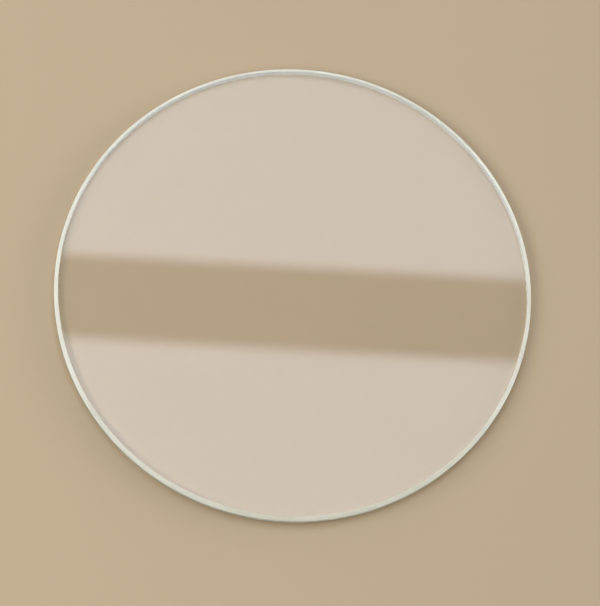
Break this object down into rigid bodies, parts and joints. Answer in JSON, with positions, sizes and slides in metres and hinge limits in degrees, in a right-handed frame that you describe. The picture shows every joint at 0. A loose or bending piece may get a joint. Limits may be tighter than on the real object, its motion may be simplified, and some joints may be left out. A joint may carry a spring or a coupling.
{
  "type": "watch crystal",
  "caption": "Flat round mineral glass watch crystal with polished faces, small ground bevels and a ground cylindrical edge that is pressed into a watch case.",
  "frame": {"origin": "centre of the back face, the one that looks at the dial", "axes": "+Z along the disc's axis, from the back face out through the front face; X and Y lie in the back face, and the disc is round about Z"},
  "size_m": [0.035, 0.035, 0.001],
  "materials": {
    "mineral_glass": "polished faces, fine ground edge and bevels"
  },
  "bodies": {
    "root": {"crystal": "mineral_glass"}
  },
  "joints": []
}
